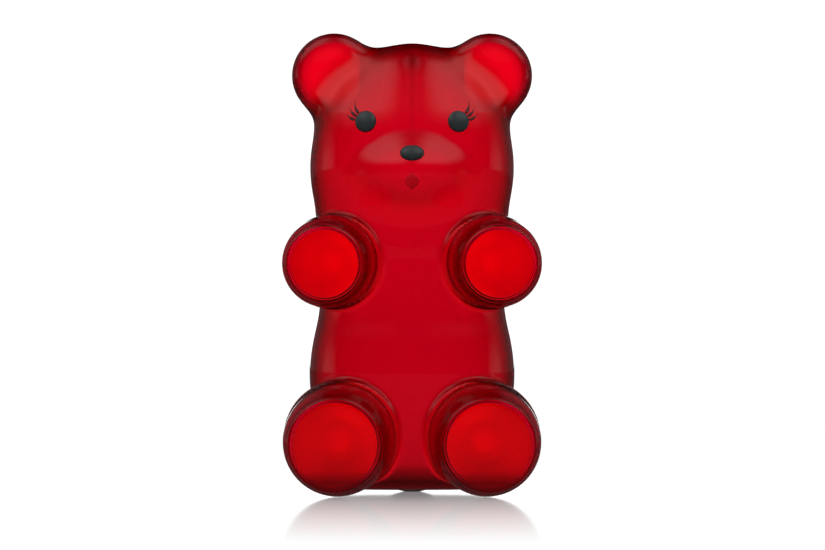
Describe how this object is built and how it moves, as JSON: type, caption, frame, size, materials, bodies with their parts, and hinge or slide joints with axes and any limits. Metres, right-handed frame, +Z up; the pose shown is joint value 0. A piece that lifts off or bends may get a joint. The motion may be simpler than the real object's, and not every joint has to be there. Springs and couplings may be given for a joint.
{
  "type": "vinyl art toy",
  "caption": "Standing see-through red bear figure, a hollow glossy casting with round ears, button eyes and drum-shaped limbs that point forward and swivel.",
  "frame": {"origin": "on the surface the bear stands on, at the middle of its width and depth", "axes": "+Z up, the bear faces -Y, its left side is at +X"},
  "size_m": [0.1134, 0.0901, 0.1999],
  "materials": {
    "red_vinyl": "high gloss, see-through red, frosted inside",
    "black_gloss": "gloss",
    "brown_print": "satin print",
    "mouth_print": "satin print"
  },
  "bodies": {
    "body": {"body_shell": "red_vinyl", "base_plug": "red_vinyl", "eye_left": "black_gloss", "eye_right": "black_gloss", "nose": "black_gloss", "mouth": "mouth_print", "lash_left_1": "brown_print", "lash_left_2": "brown_print", "lash_left_3": "brown_print", "lash_right_1": "brown_print", "lash_right_2": "brown_print", "lash_right_3": "brown_print"},
    "left_arm": {"arm_left": "red_vinyl", "shoulder_plug_left": "red_vinyl"},
    "right_arm": {"arm_right": "red_vinyl", "shoulder_plug_right": "red_vinyl"},
    "left_leg": {"leg_left": "red_vinyl", "hip_plug_left": "red_vinyl"},
    "right_leg": {"leg_right": "red_vinyl", "hip_plug_right": "red_vinyl"}
  },
  "joints": [
    {"name": "shoulder_left", "type": "hinge", "parent": "body", "child": "left_arm", "pos_m": [0.0354, -0.0237, 0.1007], "axis": [0, -1, 0], "continuous": true},
    {"name": "shoulder_right", "type": "hinge", "parent": "body", "child": "right_arm", "pos_m": [-0.0354, -0.0237, 0.1007], "axis": [0, -1, 0], "continuous": true},
    {"name": "hip_left", "type": "hinge", "parent": "body", "child": "left_leg", "pos_m": [0.0312, -0.0273, 0.02435], "axis": [0, -1, 0], "continuous": true},
    {"name": "hip_right", "type": "hinge", "parent": "body", "child": "right_leg", "pos_m": [-0.0312, -0.0273, 0.02435], "axis": [0, -1, 0], "continuous": true}
  ]
}
